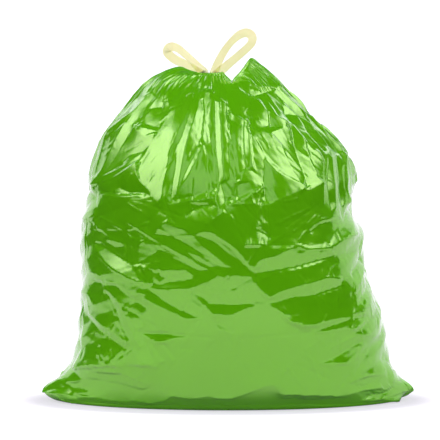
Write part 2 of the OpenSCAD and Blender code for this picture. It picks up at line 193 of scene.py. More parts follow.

# %% [markdown]
# ## The panels of the front
# Each row is one flat panel of film as it is seen from the camera: two angles and its corners, in
# millimetres from the middle of the bag and from the floor line. They were chosen with the lamps in
# mind. At the top a panel's angles are its own: how far it leans back and how far it faces to the
# right. Lower down a panel keeps the curve of the smooth film. There the first angle says how high
# the panel's mirror image lies in the room, and the second turns the panel away from the smooth film.

# %% Panels of the gathered top
TOP_PANELS = [
    # Left shoulder
    (12, -54, [(-208, 345), (-200, 382), (-190, 402), (-178, 412), (-160, 425), (-148, 422), (-168, 395),
        (-198, 352)]),
    (25, -27, [(-183, 410), (-177, 407), (-138, 436), (-97, 487), (-103, 492), (-142, 442)]),
    (24, -27, [(-209, 331), (-203, 330), (-190, 350), (-166, 388), (-146, 414), (-128, 446), (-110, 466),
        (-115, 472), (-134, 449), (-153, 425), (-173, 396)]),
    (8, -38, [(-143, 418), (-126, 406), (-108, 409), (-116, 396), (-128, 384), (-150, 378), (-170, 360),
        (-196, 344), (-188, 352), (-166, 386)]),
    (26, -22, [(-144, 424), (-142, 418), (-126, 405), (-106, 413), (-130, 418)]),
    (35, -22, [(-140, 428), (-125, 422), (-104, 416), (-100, 452), (-110, 448), (-125, 437)]),
    (28, -17, [(-122, 446), (-98, 472), (-100, 450)]),
    (22, -28, [(-207, 331), (-198, 343), (-160, 361), (-130, 383), (-138, 368), (-165, 351), (-190, 336)]),
    (6, -52, [(-206, 330), (-190, 337), (-162, 351), (-150, 344), (-165, 329), (-185, 319), (-200, 317)]),
    (-4, -30, [(-162, 350), (-140, 365), (-137, 345), (-121, 318), (-150, 317), (-166, 327)]),
    # The broad pale pleat and its neighbours
    (23, -21, [(-127, 382), (-138, 352), (-134, 338), (-115, 312), (-107, 301), (-100, 310), (-98, 335),
        (-92, 348), (-91, 378), (-80, 402), (-58, 438), (-50, 470), (-62, 466), (-85, 440), (-102, 418)]),
    (29, -1, [(-91, 378), (-86, 372), (-74, 398), (-58, 430), (-50, 456), (-56, 452), (-78, 404)]),
    (22, -8, [(-96, 342), (-91, 370), (-84, 372), (-78, 380), (-82, 345), (-88, 320), (-100, 306),
        (-98, 325)]),
    (24, -22, [(-49, 482), (-42, 482), (-45, 455), (-61, 405), (-71, 358), (-77, 325), (-79, 309),
        (-87, 310), (-83, 335), (-77, 372), (-67, 412), (-54, 452)]),
    (24, 9, [(-42, 470), (-38, 440), (-40, 410), (-44, 392), (-60, 358), (-77, 322), (-70, 365), (-59, 408),
        (-45, 450)]),
    (17, 1, [(-78, 313), (-60, 345), (-44, 378), (-38, 398), (-33, 380), (-32, 352), (-22, 328), (-17, 321),
        (-45, 316)]),
    (25, -9, [(-38, 472), (-21, 470), (-19, 400), (-17, 340), (-22, 330), (-31, 354), (-33, 384),
        (-38, 404), (-36, 440)]),
    (24, -21, [(-20, 455), (-12, 457), (-9, 392), (-5, 345), (-8, 335), (-14, 335), (-17, 390)]),
    (24, 9, [(-11, 460), (-3, 455), (2, 400), (4, 345), (-3, 336), (-5, 350), (-8, 395)]),
    (24, -19, [(-86, 309), (-60, 312), (-18, 322), (-16, 315), (-45, 305), (-75, 303)]),
    (30, -22, [(-34, 445), (-27, 463), (-21, 462), (-30, 434)]),
    (30, -2, [(-47, 478), (-30, 480), (-22, 499), (-42, 497)]),
    (23, -20, [(-62, 283), (-55, 293), (-20, 301), (-4, 290), (-15, 281), (-30, 269), (-48, 277)]),
    (22, 18, [(-20, 304), (-13, 334), (-9, 336), (-3, 308), (-11, 292)]),
    # Under the nick and down the middle
    (40, 8, [(1, 476), (25, 476), (28, 450), (25, 431), (4, 443), (-1, 460)]),
    (26, -20, [(-1, 444), (23, 431), (20, 421), (5, 430)]),
    (28, 1, [(8, 426), (19, 421), (18, 380), (8, 360), (5, 390)]),
    (24, 9, [(19, 421), (25, 430), (25, 390), (28, 356), (20, 348), (17, 352), (18, 385)]),
    (24, -17, [(25, 432), (31, 428), (36, 390), (38, 358), (28, 356), (25, 392)]),
    (26, 9, [(32, 426), (44, 402), (58, 375), (57, 356), (42, 358), (37, 390)]),
    (24, 18, [(17, 335), (28, 356), (40, 354), (54, 342), (55, 332), (35, 337)]),
    (14, 1, [(4, 309), (19, 334), (36, 336), (53, 331), (40, 319), (20, 312)]),
    (24, -19, [(0, 306), (20, 314), (54, 333), (56, 328), (27, 309), (6, 302)]),
    (16, 3, [(58, 372), (76, 353), (96, 341), (118, 331), (115, 321), (90, 315), (66, 304), (57, 310),
        (56, 340)]),
    (24, 22, [(114, 332), (104, 343), (84, 353), (76, 354), (96, 341)]),
    (27, 9, [(28, 420), (55, 413), (70, 407), (84, 392), (99, 360), (114, 332), (92, 345), (75, 361),
        (61, 376), (42, 403)]),
    # Right shoulder
    (24, 23, [(66, 411), (80, 417), (93, 419), (101, 395), (113, 372), (114, 355), (121, 340), (115, 331),
        (103, 350), (92, 373), (84, 393)]),
    (23, 8, [(95, 425), (104, 420), (118, 400), (128, 370), (140, 343), (149, 333), (121, 331), (116, 354),
        (104, 388)]),
    (22, 24, [(117, 404), (126, 398), (149, 369), (149, 335), (139, 344), (128, 371)]),
    (18, 32, [(149, 370), (156, 370), (155, 338), (149, 335)]),
    (20, 28, [(156, 372), (163, 376), (166, 330), (163, 295), (156, 290), (153, 330)]),
    (10, 66, [(163, 376), (170, 380), (176, 340), (172, 296), (163, 294), (166, 330)]),
    (20, 28, [(170, 380), (180, 380), (187, 345), (184, 305), (173, 297), (176, 340)]),
    (10, 68, [(180, 380), (194, 352), (196, 320), (190, 300), (184, 302), (187, 345)]),
    (24, 25, [(75, 479), (72, 474), (98, 447), (128, 421), (172, 380), (177, 384), (132, 428), (102, 454)]),
    (23, 22, [(87, 456), (104, 440), (130, 419), (155, 394), (150, 384), (135, 399), (110, 424),
        (88, 441)]),
    (38, 24, [(88, 440), (106, 437), (124, 408), (148, 383), (132, 385), (112, 408), (94, 430)]),
    (43, 6, [(6, 500), (20, 512), (37, 523), (55, 512), (74, 492), (82, 482), (74, 478), (33, 490),
        (8, 494)]),
    (28, 20, [(8, 493), (33, 490), (52, 482), (73, 477), (42, 468), (20, 480)]),
    (30, 2, [(28, 440), (38, 456), (43, 463), (61, 441), (63, 424), (48, 413), (36, 420)]),
    (28, 3, [(62, 440), (72, 436), (92, 425), (84, 418), (66, 419)]),
]
print("top panels:", len(TOP_PANELS))

# %% Panels of the filled part
# Heights of the mirror image: in a lamp, far out on the floor, nearer on the floor, in the dim part of
# the room and in the bag's own shade.
LAMP, FLOOR, LEAF, ROOM, SHADE = 40, -16, -26, 7, -60
PANELS = [
    # Broad grounds, which the leaves below are laid on
    (ROOM, 0, [(-200, 318), (-115, 312), (-102, 303), (-60, 303), (-20, 300), (-5, 290), (30, 270),
        (30, 236), (40, 200), (0, 205), (-50, 215), (-110, 240), (-140, 262), (-200, 262)]),
    (ROOM, 0, [(-5, 290), (5, 304), (30, 300), (66, 303), (90, 313), (118, 322), (149, 335), (146, 300),
        (160, 285), (175, 278), (158, 240), (120, 238), (66, 236), (40, 200), (30, 236), (30, 270)]),
    (ROOM, 0, [(-218, 262), (-200, 262), (-140, 262), (-110, 240), (-50, 215), (0, 206), (40, 200),
        (40, 192), (0, 194), (-50, 174), (-125, 176), (-150, 150), (-140, 120), (-195, 160), (-212, 200)]),
    (FLOOR, 0, [(-232, 48), (-162, 56), (-148, 60), (-148, 84), (-140, 104), (-118, 122), (-110, 150),
        (-125, 172), (-60, 174), (-40, 168), (-8, 160), (40, 150), (66, 150), (80, 138), (92, 122),
        (118, 106), (160, 108), (188, 112), (215, 104), (245, 98), (243, 60), (250, 30), (236, 12),
        (206, 20), (180, 8), (80, 10), (10, 0), (-120, -6), (-180, 0), (-222, 10)]),
    # Left edge and the crescent
    (30, 0, [(-214, 325), (-205, 312), (-199, 296), (-203, 284), (-219, 274), (-222, 295)]),
    (LAMP + 4, -4, [(-207, 243), (-196, 240), (-178, 229), (-160, 217), (-146, 210), (-134, 207),
        (-129, 194), (-134, 180), (-147, 185), (-168, 196), (-189, 212), (-199, 226)]),
    (LEAF, 0, [(-146, 207), (-132, 206), (-95, 200), (-62, 203), (-52, 186), (-82, 180), (-118, 177),
        (-128, 179), (-134, 184), (-140, 196)]),
    (LAMP, -2, [(-139, 205), (-132, 205), (-126, 180), (-132, 181)]),
    (32, -2, [(-124, 203), (-119, 203), (-115, 179), (-120, 179)]),
    (30, -2, [(-108, 200), (-104, 200), (-101, 180), (-106, 180)]),
    (FLOOR, 0, [(-212, 200), (-197, 192), (-192, 180), (-190, 166), (-200, 170), (-222, 180), (-216, 192)]),
    (LEAF, 0, [(-190, 246), (-178, 246), (-160, 239), (-175, 236)]),
    (ROOM, 0, [(-215, 175), (-196, 166), (-186, 152), (-180, 140), (-172, 128), (-190, 122), (-205, 128),
        (-213, 132), (-217, 155)]),
    # Leaves that fan out from the middle to the left
    (LEAF, 0, [(-138, 240), (-126, 250), (-118, 246), (-102, 233), (-112, 224), (-124, 216),
        (-138, 209)]),
    (LEAF, 0, [(-156, 272), (-148, 270), (-118, 252), (-90, 234), (-58, 220), (-26, 197), (-46, 199),
        (-70, 210), (-88, 222), (-122, 243)]),
    (LEAF, 0, [(-113, 254), (-105, 268), (-92, 276), (-78, 268), (-64, 263), (-50, 252), (-38, 239),
        (-14, 218), (0, 204), (-4, 202), (-22, 210), (-46, 226), (-74, 246), (-92, 253)]),
    (LEAF, 0, [(-66, 232), (-44, 224), (-16, 203), (-26, 203), (-50, 215)]),
    (43, -14, [(-60, 284), (-55, 292), (-22, 298), (-15, 300), (-5, 291), (-14, 283), (-28, 270),
        (-45, 276)]),
    (LEAF, 0, [(-52, 256), (-38, 260), (-22, 258), (-8, 250), (5, 240), (20, 224), (38, 200),
        (34, 200), (20, 212), (0, 228), (-20, 244)]),
    # The bright pinches under the pleats
    (40, 16, [(44, 266), (48, 290), (50, 306), (53, 306), (54, 288), (61, 273), (48, 265)]),
    (40, 16, [(26, 237), (33, 252), (42, 252), (45, 263), (58, 257), (66, 250), (57, 237)]),
    # Round the middle
    (FLOOR, 0, [(-56, 168), (-40, 180), (-20, 190), (0, 194), (38, 191), (44, 180), (52, 166), (62, 152),
        (44, 150), (40, 148), (0, 150), (-25, 158), (-40, 160)]),
    (ROOM + 5, 0, [(-54, 166), (-40, 161), (-28, 150), (-12, 148), (0, 150), (40, 148), (42, 144),
        (28, 142), (15, 134), (0, 127), (-12, 131), (-22, 131), (-30, 138)]),
    (ROOM + 7, 0, [(-135, 176), (-122, 172), (-98, 153), (-70, 139), (-40, 125), (-62, 123), (-85, 134),
        (-110, 147), (-128, 156)]),
    (ROOM + 6, 0, [(-22, 121), (-12, 119), (12, 104), (8, 101), (-14, 110)]),
    # Leaves that fan out to the right
    (LEAF, 0, [(42, 196), (52, 208), (64, 217), (82, 228), (100, 237), (112, 239), (120, 235),
        (156, 235), (163, 225), (160, 221), (130, 211), (98, 202), (60, 198)]),
    (ROOM, 0, [(42, 195), (60, 197), (98, 201), (130, 210), (162, 221), (152, 190), (130, 181), (102, 173),
        (76, 161), (64, 158), (54, 166), (46, 180)]),
    (LEAF, 0, [(62, 152), (72, 160), (84, 168), (104, 175), (130, 183), (152, 190), (174, 188),
        (175, 176), (168, 173), (140, 164), (118, 160), (104, 163), (90, 158), (74, 150)]),
    (ROOM, 0, [(66, 150), (90, 158), (104, 162), (120, 160), (140, 163), (175, 175), (190, 172), (192, 150),
        (190, 128), (165, 124), (140, 116), (118, 114), (94, 121), (84, 132), (74, 140)]),
    (LEAF, 0, [(116, 106), (130, 113), (150, 121), (180, 129), (188, 131), (189, 125), (160, 118),
        (135, 109)]),
    (ROOM + 6, 0, [(118, 104), (135, 109), (160, 117), (186, 124), (174, 110), (150, 104)]),
    (LEAF, 0, [(121, 262), (128, 270), (142, 278), (160, 281), (172, 280), (158, 274), (140, 268),
        (128, 258)]),
    # Right edge
    (30, 0, [(158, 238), (160, 246), (172, 268), (180, 276), (196, 274), (205, 266), (200, 258), (180, 250),
        (164, 236)]),
    (FLOOR, 2, [(160, 236), (178, 248), (200, 257), (206, 245), (204, 230), (196, 228), (180, 222),
        (166, 220)]),
    (ROOM, 2, [(154, 192), (160, 205), (175, 215), (190, 222), (204, 236), (206, 215), (196, 205),
        (186, 196), (176, 190)]),
    (30, 0, [(190, 196), (198, 205), (206, 220), (209, 205), (202, 180), (194, 165), (192, 185)]),
    (ROOM, 0, [(176, 190), (186, 197), (192, 185), (191, 130), (183, 130), (176, 175)]),
    (30, 0, [(192, 132), (196, 142), (206, 160), (214, 178), (222, 172), (214, 150), (202, 138)]),
    (ROOM, 4, [(192, 102), (200, 112), (216, 122), (226, 132), (231, 128), (232, 101), (210, 99)]),
    (32, 4, [(188, 108), (192, 122), (198, 129), (218, 129), (210, 120), (198, 112)]),
    # Right foot
    (ROOM + 9, 0, [(134, 54), (150, 62), (175, 74), (196, 88), (205, 93), (216, 92), (206, 80), (196, 70),
        (182, 57), (160, 57)]),
    (ROOM, 0, [(185, 28), (190, 38), (200, 56), (212, 70), (222, 84), (236, 93), (245, 96), (244, 80),
        (240, 62), (237, 42), (215, 41), (200, 36)]),
    (FLOOR, 0, [(198, 62), (206, 76), (218, 89), (228, 91), (218, 78), (206, 64)]),
    (FLOOR, 0, [(186, 27), (205, 36), (216, 40), (238, 41), (244, 30), (250, 18), (236, 16), (214, 26)]),
    (ROOM, 0, [(192, 16), (210, 28), (226, 36), (236, 38), (230, 30), (238, 20), (220, 18)]),
    (36, 0, [(237, 66), (244, 64), (250, 42), (256, 26), (249, 22), (241, 40)]),
    (ROOM, 0, [(250, 48), (256, 46), (262, 30), (280, 22), (289, 14), (285, 6), (262, 2), (240, 0),
        (242, 14), (254, 24), (251, 40)]),
    # Left foot
    (ROOM + 11, 2, [(-223, 168), (-205, 185), (-170, 178), (-128, 145), (-134, 108), (-106, 52), (-139, 56),
        (-162, 55), (-206, 55), (-233, 50), (-228, 62), (-222, 84), (-222, 130)]),
    (FLOOR, 0, [(-224, 168), (-214, 166), (-208, 150), (-212, 136), (-223, 137)]),
    (FLOOR, 0, [(-222, 139), (-208, 128), (-192, 114), (-151, 86), (-150, 82), (-154, 82), (-194, 109),
        (-210, 124)]),
    (FLOOR, -4, [(-190, 170), (-181, 165), (-165, 146), (-152, 122), (-140, 96), (-133, 80), (-143, 78),
        (-153, 91), (-164, 113), (-175, 141)]),
    (LAMP, -6, [(-188, 166), (-183, 164), (-171, 141), (-160, 114), (-150, 91), (-154, 89), (-166, 112),
        (-177, 140)]),
    (ROOM + 9, 0, [(-159, 135), (-154, 134), (-144, 112), (-134, 88), (-138, 88), (-149, 112)]),
    (FLOOR, 0, [(-150, 84), (-143, 82), (-136, 55), (-157, 55)]),
    (LAMP, -4, [(-199, 82), (-194, 85), (-193, 76), (-187, 66), (-172, 61), (-172, 57), (-190, 61),
        (-198, 74)]),
    (ROOM + 6, 0, [(-132, 104), (-118, 106), (-95, 104), (-58, 100), (-82, 94), (-98, 87), (-118, 91)]),
    (ROOM + 6, 0, [(-104, 88), (-97, 88), (-76, 62), (-84, 59)]),
    (ROOM + 6, 0, [(-124, 90), (-116, 90), (-96, 60), (-104, 57)]),
    (LEAF, 0, [(-205, 47), (-165, 44), (-118, 22), (-130, 17), (-170, 30), (-222, 38)]),
    (LAMP, -4, [(-248, 40), (-240, 54), (-233, 49), (-222, 32), (-232, 29), (-246, 30)]),
    (ROOM, 0, [(-244, 29), (-232, 28), (-213, 19), (-215, 13), (-236, 13)]),
    (ROOM, 0, [(-290, 18), (-275, 26), (-250, 34), (-243, 25), (-248, 21), (-275, 21)]),
    (LAMP, 0, [(-275, 21), (-245, 21), (-240, 11), (-254, 11)]),
    (ROOM, 12, [(-254, 37), (-246, 37), (-229, -3), (-237, -4)]),
    # The lower edge, which rolls under
    (SHADE, 0, [(-232, 4), (-215, 8), (-180, 0), (-140, -2), (-118, -6), (-95, -2), (-86, 6), (-78, 4),
        (-60, 0), (-38, 2), (-30, 6), (-18, 0), (5, 0), (5, -30), (-240, -30)]),
    (SHADE, 0, [(5, 0), (20, 5), (66, 25), (74, 22), (80, 10), (82, 2), (110, 2), (125, 0), (150, 3),
        (180, 8), (200, 14), (206, 1), (240, 2), (250, -30), (5, -30)]),
    (LAMP, 0, [(206, 1), (216, 9), (242, 14), (240, 2)]),
]
print("panels:", len(PANELS))

# %% Single creases
# How far a thin ridge stands out, or a valley sinks in, and where it runs.
CREASES = [
    (-0.5, [(-192, 320), (-150, 313), (-115, 308)]), (0.5, [(-152, 301), (-132, 289)]),
    (0.6, [(-195, 281), (-176, 271), (-160, 262), (-148, 248)]),
    (0.5, [(-204, 270), (-186, 256), (-182, 246)]),
    (-0.5, [(-154, 271), (-100, 237), (-75, 222)]), (-0.4, [(20, 95), (60, 98), (110, 103), (165, 105)]),
    (0.5, [(160, 82), (190, 96), (216, 106)]), (-0.4, [(-110, 104), (-60, 100), (-20, 96)]),
    (0.5, [(110, 246), (118, 258), (128, 264)]), (0.4, [(-160, 225), (-158, 245)]),
    (0.4, [(-38, 141), (-54, 150)]),
    (0.5, [(0, 302), (30, 301), (50, 306)]), (-0.4, [(60, 300), (64, 262)]), (0.4, [(86, 305), (106, 309)]),
    (0.5, [(166, 372), (172, 330), (166, 300)]), (-0.5, [(182, 360), (184, 320), (178, 300)]),
    (0.5, [(200, 200), (204, 170), (198, 150)]), (0.5, [(-216, 160), (-213, 132)]),
    (-0.4, [(-74, 80), (-52, 79)]),
    (-0.4, [(-80, 62), (-62, 74)]), (0.4, [(120, 78), (146, 96)]), (0.4, [(84, 40), (110, 66)]),
]
print("creases:", len(CREASES))

# %% [markdown]
# A panel asks the film to slope in one direction, but neighbouring panels have to share their edges.
# That is the same problem as rebuilding a picture from its gradients: the height of the film over the
# smooth loft is the field whose steps come nearest to all the wished slopes. Conjugate gradients find
# it in a few seconds, and the creases then appear by themselves where two panels meet.

# %% Folded waves, smooth noise and seeded cells
FAR = 1e9


def zigzag(phase):
    return np.abs(2 * (phase - np.floor(phase)) - 1)


def lattice(seed, cells_around, cells_up):
    """Smooth random values between 0 and 1 over the film, the same on each run."""
    table = np.random.default_rng(seed).random((cells_up + 2, cells_around))
    a = U / (2 * math.pi) * cells_around
    b = T / ring_t[-1] * cells_up
    i, j = np.floor(b).astype(int), np.floor(a).astype(int)
    fa, fb = fade(a - j, 0, 1), fade(b - i, 0, 1)
    j0, j1 = j % cells_around, (j + 1) % cells_around
    low = table[i, j0] * (1 - fa) + table[i, j1] * fa
    high = table[i + 1, j0] * (1 - fa) + table[i + 1, j1] * fa
    return low * (1 - fb) + high * fb


def cells(seed, cells_around, cells_up):
    """Numbers the cells of a jittered grid on the film, and gives each two values between -1 and 1."""
    random = np.random.default_rng(seed)
    rows = cells_up + 3
    site_a, site_b, value_a, value_b = (random.random((rows, cells_around)) for _ in range(4))
    a = U / (2 * math.pi) * cells_around
    b = T / ring_t[-1] * cells_up + 1
    best = np.full(a.shape, FAR)
    found = np.zeros(a.shape, int)
    for up in (-1, 0, 1):
        for along in (-1, 0, 1):
            i, j = np.floor(b).astype(int) + up, np.floor(a).astype(int) + along
            i, column = np.clip(i, 0, rows - 1), j % cells_around
            gap = (j + site_a[i, column] - a) ** 2 + (i + site_b[i, column] - b) ** 2
            closer = gap < best
            best = np.where(closer, gap, best)
            found = np.where(closer, i * cells_around + column, found)
    return found, 2 * value_a.ravel()[found] - 1, 2 * value_b.ravel()[found] - 1


# %% Which panel a point of the film lies in
HIDDEN = -1e6
LEAST_FACING = 0.6
BOW_ACROSS, BOW_UP = math.radians(9), math.radians(4)


def seen(points, facing):
    """Where points of the film are seen, in the plane of the mouth. Points behind it are hidden."""
    x = points[..., 0] * facing - AIM.x / MM
    y = (points[..., 1] - mouth_y) * facing
    z = points[..., 2] - AIM.z / MM
    grown = CAMERA_REACH / (CAMERA_REACH + (y * math.cos(CAMERA_RISE) - z * math.sin(CAMERA_RISE)) * MM)
    seen_z = AIM.z / MM + (z * math.cos(CAMERA_RISE) + y * math.sin(CAMERA_RISE)) * grown
    return AIM.x / MM + x * grown, np.where(y < 0, seen_z, HIDDEN)


def inside(x, y, corners):
    """Which points lie inside a polygon. Only those within its box are tested."""
    low, high = np.min(corners, axis=0), np.max(corners, axis=0)
    found = np.nonzero((x > low[0]) & (x < high[0]) & (y > low[1]) & (y < high[1]))
    x, y = x[found], y[found]
    hit = np.zeros(x.shape, bool)
    for (x0, y0), (x1, y1) in zip(corners, corners[1:] + corners[:1]):
        if y0 != y1:
            hit ^= ((y0 > y) != (y1 > y)) & (x < (x1 - x0) * (y - y0) / (y1 - y0) + x0)
    return tuple(index[hit] for index in found)


def laid_out(facing, points, face):
    """Lean, heading and number of each point's panel, and the heading of the smooth film.

    The front has facing 1. The back has facing -1 and the same panels, turned round.
    """
    seen_x, seen_z = seen(points, facing)
    yaw = np.arctan2(face[..., 0] * facing, -face[..., 1] * facing)
    lean, heading, number = np.zeros(T.shape), np.zeros(T.shape), np.zeros(T.shape, int)
    for k, (back, right, corners) in enumerate(PANELS + TOP_PANELS):
        spot = inside(seen_x, seen_z, corners)
        number[spot] = k + 1
        if k < len(PANELS):
            heading[spot] = yaw[spot] + math.radians(right)
            rise = (math.sin(math.radians(back)) + math.sin(CAMERA_RISE)) / 2
            lean[spot] = np.arcsin(rise / np.maximum(np.cos(heading[spot]), LEAST_FACING))
        else:
            low, high = np.min(corners, axis=0), np.max(corners, axis=0)
            bow_x, bow_z = (2 * field[spot] - low[n] - high[n] for n, field in enumerate((seen_x, seen_z)))
            lean[spot] = math.radians(back) + BOW_UP * bow_z / (high - low)[1]
            heading[spot] = math.radians(right) + BOW_ACROSS * bow_x / (high - low)[0]
    return lean, heading, number, yaw


# %% Grooves of the single creases and of small ones at random
GROOVE_WIDTH, GROOVE_MARGIN = 1.7, 5
SMALL_CREASES, SMALL_SEED = 420, 60
FRONT_MIDDLE, MOUTH_Z, PLEATS_FROM, SIDES_FROM = -8, 490, 318, 145
FAN_X, FAN_Z = 40, 200
# Near the middle, below and above these heights, the small creases are this much lower.
CALM_REACH, CALM_BELOW, CALM_ABOVE, CALM = 110, 160, 330, 0.6


def small_creases(seed):
    """Short creases that run to the mouth at the top, upright at the sides, else to the fan's middle."""
    random = np.random.default_rng(seed)
    rows = []
    for _ in range(SMALL_CREASES):
        x, z = random.uniform(-225, 215), random.uniform(30, 480)
        off_middle = abs(x - FRONT_MIDDLE)
        if z > PLEATS_FROM:
            angle, spread, length = math.atan2(MOUTH_Z - z, NECK_X - x), 0.16, random.uniform(12, 46)
        elif off_middle > SIDES_FROM:
            angle, spread, length = math.pi / 2, 0.5, random.uniform(10, 34)
        else:
            angle, spread, length = math.atan2(FAN_Z - z, FAN_X - x), 0.5, random.uniform(14, 60)
        angle += random.normal(0, spread)
        height = random.uniform(0.08, 0.4) * random.choice((-1, 1))
        if off_middle < CALM_REACH and not CALM_BELOW < z < CALM_ABOVE:
            height *= CALM
        ahead_x, ahead_z = 0.5 * length * math.cos(angle), 0.5 * length * math.sin(angle)
        rows.append((height, [(x - ahead_x, z - ahead_z), (x + ahead_x, z + ahead_z)]))
    return rows


def laid_grooves(facing):
    seen_x, seen_z = seen(smooth, facing)
    grooves = np.zeros(T.shape)
    for height, corners in CREASES + small_creases(SMALL_SEED + facing):
        low_x, low_z = np.min(corners, axis=0) - GROOVE_MARGIN
        high_x, high_z = np.max(corners, axis=0) + GROOVE_MARGIN
        spot = np.nonzero((seen_x > low_x) & (seen_x < high_x) & (seen_z > low_z) & (seen_z < high_z))
        x, z = seen_x[spot], seen_z[spot]
        near = np.full(x.shape, FAR)
        for (x0, z0), (x1, z1) in zip(corners, corners[1:]):
            run_x, run_z = x1 - x0, z1 - z0
            share = ((x - x0) * run_x + (z - z0) * run_z) / (run_x ** 2 + run_z ** 2)
            share = np.clip(share, 0, 1)
            near = np.minimum(near, np.hypot(x - x0 - share * run_x, z - z0 - share * run_z))
        grooves[spot] += height * np.exp(-(near / GROOVE_WIDTH) ** 2)
    return grooves


grooves = laid_grooves(1) + laid_grooves(-1)
print("grooves, mm: lowest", round(float(grooves.min()), 2), "highest", round(float(grooves.max()), 2))

# %% [markdown]
# Between the panels the film is slack. There it breaks into random cells, which lean and turn a little,
# more on the sides than on the front. No panel is quite flat either, so all of them waver.

# %% Slack film
BACK_NUMBERS, LOW_NUMBERS, TOP_NUMBERS = 500, 10000, 20000
TOP_FROM = 14.5
# Most lean and turn in radians: at the top, lower down, and how much more on the sides.
TOP_SLACK, LOW_SLACK, SIDE_SLACK = (0.14, 0.26), (0.03, 0.05), (0.11, 0.2)
TOP_WAVER, LOW_WAVER = (0.12, 0.12), (0.03, 0.04)
low_id, low_turn, low_lean = cells(11, 38, 11)
top_id, top_turn, top_lean = cells(12, 58, 8)
top = T > TOP_FROM
side = 1 - fade(-np.sin(U), 0.4, 0.75)
slack_id = np.where(top, TOP_NUMBERS + top_id, LOW_NUMBERS + low_id)
slack_lean = np.where(top, TOP_SLACK[0] * top_lean, low_lean * (LOW_SLACK[0] + SIDE_SLACK[0] * side))
slack_turn = np.where(top, TOP_SLACK[1] * top_turn, low_turn * (LOW_SLACK[1] + SIDE_SLACK[1] * side))
waver_lean = (lattice(31, 40, 24) - 0.5) * np.where(top, TOP_WAVER[0], LOW_WAVER[0])
waver_turn = (lattice(32, 50, 24) - 0.5) * np.where(top, TOP_WAVER[1], LOW_WAVER[1])
print("slack cells:", len(np.unique(slack_id)))

# %% Slopes that the panels ask for
# How far along a grid step the panels are looked up, and how firmly loose film and a crease hold on.
SHARES = (0.125, 0.375, 0.625, 0.875)
LOOSE_WEIGHT, CREASE_WEIGHT = 0.2, 0.08
LEAST_STRAIGHT = 0.3


def between(field, ahead, share):
    return field * (1 - share) + ahead(field) * share


def nearest(field, ahead, share):
    return ahead(field) if share > 0.5 else field


def wished_rise(ahead, direction, step):
    """What the film should rise from each point to the next one, looked up at a few places on the way."""
    total_slope, stiffness, numbers = 0.0, 0.0, []
    for share in SHARES:
        points = between(smooth, ahead, share)
        face, along_step = (unit(between(field, ahead, share)) for field in (normal, direction))
        at_back = points[..., 1] > mouth_y
        front, back = laid_out(1, points, face), laid_out(-1, points, face)
        lean, heading, number, yaw = (np.where(at_back, b, f) for f, b in zip(front, back))
        number = np.where(at_back & (number > 0), number + BACK_NUMBERS, number)
        loose = number == 0
        own_lean = np.arcsin(np.clip(face[..., 2], -1, 1))
        lean = np.where(loose, own_lean + nearest(slack_lean, ahead, share), lean)
        lean = lean + nearest(waver_lean, ahead, share)
        heading = np.where(loose, yaw + nearest(slack_turn, ahead, share), heading)
        heading = heading + nearest(waver_turn, ahead, share)
        facing = np.where(at_back, -1, 1)
        wish = np.stack([np.cos(lean) * np.sin(heading) * facing, -np.cos(lean) * np.cos(heading) * facing,
                         np.sin(lean)], -1)
        straight = np.maximum((wish * face).sum(-1), LEAST_STRAIGHT)
        total_slope = total_slope - (wish * along_step).sum(-1) / straight
        stiffness = stiffness + np.where(loose, LOOSE_WEIGHT, 1)
        numbers.append(np.where(loose, nearest(slack_id, ahead, share), number))
    broken = numbers[0] != numbers[-1]
    stiffness = np.where(broken, CREASE_WEIGHT, 1) * stiffness / len(SHARES)
    return total_slope / len(SHARES) * step, stiffness, numbers[0] < LOW_NUMBERS


def next_column(field):
    return around(field, 1)


def next_ring(field):
    return np.concatenate([field[1:], field[-1:]])


up_steps = np.vstack([up_step, up_step[-1:]])
rise_across, stiff_across, placed = wished_rise(next_column, across, across_step)
rise_up, stiff_up, _ = wished_rise(next_ring, upward, up_steps)
print("share of the film inside a panel:", round(float(placed.mean()), 2))

# %% Heights that fit the slopes best
# The film gives way over this length, and over a shorter one where it is seen edge-on.
HOLD_LENGTH, EDGE_HOLD_LENGTH = 60.0, 12.0
MOST_TRIES, CLOSE_ENOUGH = 900, 1e-9
MOST_RELIEF = 12.0


def relief(rise_across, stiff_across, rise_up, stiff_up, free):
    k_across = stiff_across * up_steps / across_step
    k_up = stiff_up * across_step[1:] / up_step
    edge_on = 1 - fade(np.abs(normal[..., 1]), 0.12, 0.5)
    hold = up_steps * across_step * ((1 - edge_on) / HOLD_LENGTH ** 2 + edge_on / EDGE_HOLD_LENGTH ** 2)

    def spread(flow_across, flow_up):
        out = around(flow_across, -1) - flow_across
        out[1:] += flow_up
        out[:-1] -= flow_up
        return out

    def apply(h):
        return (spread(k_across * (around(h, 1) - h), k_up * (h[1:] - h[:-1])) + hold * h) * free

    scale = 1 / (k_across + around(k_across, -1) + hold)
    target = spread(k_across * rise_across, k_up * rise_up) * free
    enough = CLOSE_ENOUGH * abs((target * scale * target).sum())
    h = np.zeros(T.shape)
    left = target - apply(h)
    guess = scale * left
    step = guess.copy()
    size = (left * guess).sum()
    for _ in range(MOST_TRIES):
        moved = apply(step)
        rate = size / (step * moved).sum()
        h += rate * step
        left -= rate * moved
        guess = scale * left
        fresh = (left * guess).sum()
        if fresh < enough:
            break
        step = guess + fresh / size * step
        size = fresh
    return h


free = (fade(T, 0.8, 1.6) * (1 - fade(T, 23.2, 23.8)) > 0.02).astype(float)
heights = relief(rise_across, stiff_across, rise_up[:-1], stiff_up[:-1], free)
heights = MOST_RELIEF * np.tanh(heights / MOST_RELIEF) * (1 - 0.8 * fade(T, 20.4, 22.4))
heights = 0.5 * heights + 0.25 * (around(heights, 1) + around(heights, -1))
missed = np.degrees(np.arctan((around(heights, 1) - heights - rise_across) / across_step))
print("missed slope in the panels, degrees:", round(float(np.median(np.abs(missed[placed]))), 2))
print("relief, mm: lowest", round(float(heights.min()), 1), "highest", round(float(heights.max()), 1))

